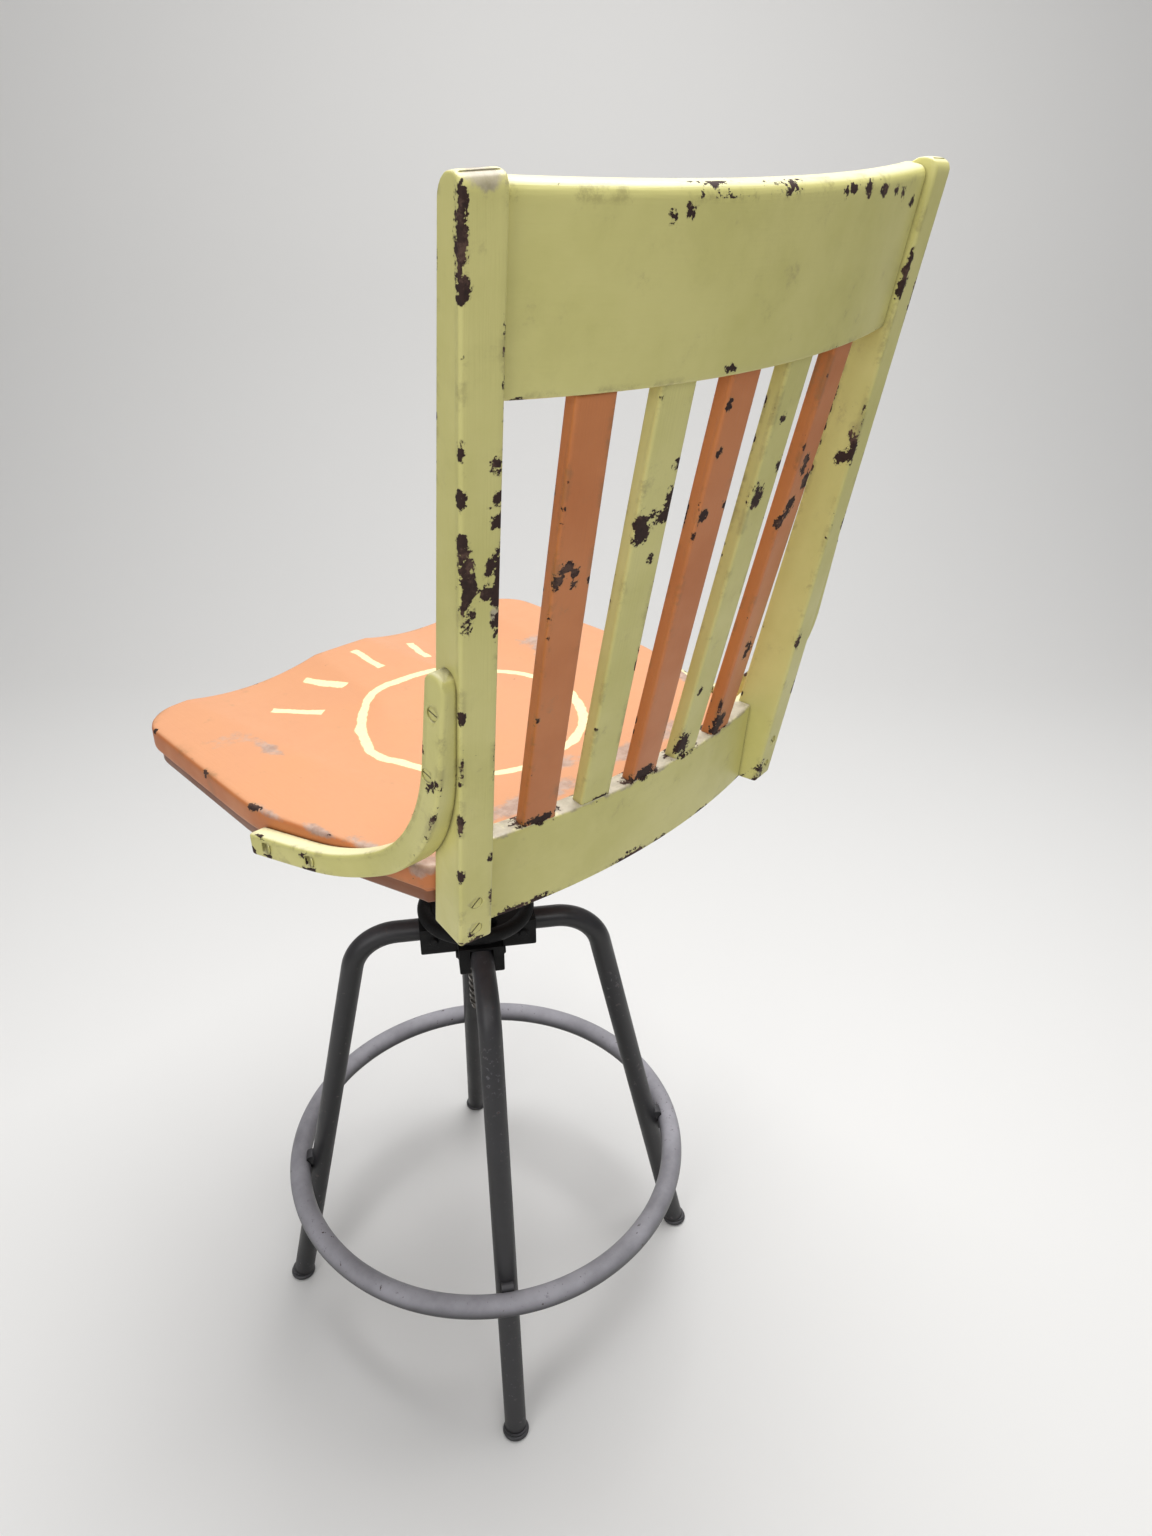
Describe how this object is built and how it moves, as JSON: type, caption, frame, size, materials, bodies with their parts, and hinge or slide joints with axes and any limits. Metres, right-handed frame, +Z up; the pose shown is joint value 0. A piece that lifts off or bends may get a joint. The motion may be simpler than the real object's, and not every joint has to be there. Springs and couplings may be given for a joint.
{
  "type": "drafting chair",
  "caption": "Swivelling drafting chair with a slatted timber back, saddle seat, screw column with handwheel, splayed tube legs and a foot ring.",
  "frame": {"origin": "on the floor, under the middle of the chair's outline (the spindle stands 41.8 mm in front of it)", "axes": "+Z up, -Y the way the sitter faces, +X to the sitter's left"},
  "size_m": [0.4676, 0.5224, 1.1647],
  "materials": {
    "yellow_timber": "brush-painted pale lime yellow over old dark brown varnish, chipped at the arrises",
    "orange_timber": "brush-painted salmon orange over old dark brown varnish, scuffed",
    "black_tube": "black enamel on steel tube, worn grey where feet rest",
    "black_casting": "black enamel on sand-cast iron",
    "bare_steel": "oiled, darkened steel",
    "bronze": "dull bearing bronze",
    "painted_screw": "slotted steel wood screws painted over with the timber"
  },
  "bodies": {
    "base": {"leg_rear_left": "black_tube", "leg_rear_right": "black_tube", "leg_front_right": "black_tube", "leg_front_left": "black_tube", "foot_glides": "black_tube", "foot_ring": "black_tube", "ring_welds": "black_tube", "hub_spider": "black_casting", "spindle_key": "bare_steel", "leg_rivets": "bare_steel", "thrust_washer": "bronze"},
    "wheel": {"handwheel": "black_casting", "spindle_nut": "bronze"},
    "column": {"spindle": "bare_steel", "swivel_washer": "bronze", "swivel_nut": "bare_steel"},
    "seat": {"seat_board": "orange_timber", "seat_iron": "black_casting", "iron_screws": "bare_steel", "post_left": "yellow_timber", "post_right": "yellow_timber", "crest_rail": "yellow_timber", "lower_rail": "yellow_timber", "slat_1": "orange_timber", "slat_2": "yellow_timber", "slat_3": "orange_timber", "slat_4": "yellow_timber", "slat_5": "orange_timber", "brace_left": "yellow_timber", "brace_right": "yellow_timber", "brace_seat_screws": "painted_screw", "brace_post_screws": "painted_screw", "post_screws": "painted_screw"}
  },
  "joints": [
    {"name": "seat_height", "type": "slide", "parent": "base", "child": "column", "axis": [0, 0, 1], "range_m": [-0.11, 0.07]},
    {"name": "wheel_turn", "type": "hinge", "parent": "base", "child": "wheel", "pos_m": [0, -0.04176, 0.516], "axis": [0, 0, 1], "range_deg": [-3151, 4951]},
    {"name": "seat_swivel", "type": "hinge", "parent": "column", "child": "seat", "pos_m": [0, -0.04176, 0.66], "axis": [0, 0, 1], "continuous": true}
  ],
  "couplings": [
    {"joint": "wheel_turn", "follows": "seat_height", "rad_per_m": -785.4}
  ]
}
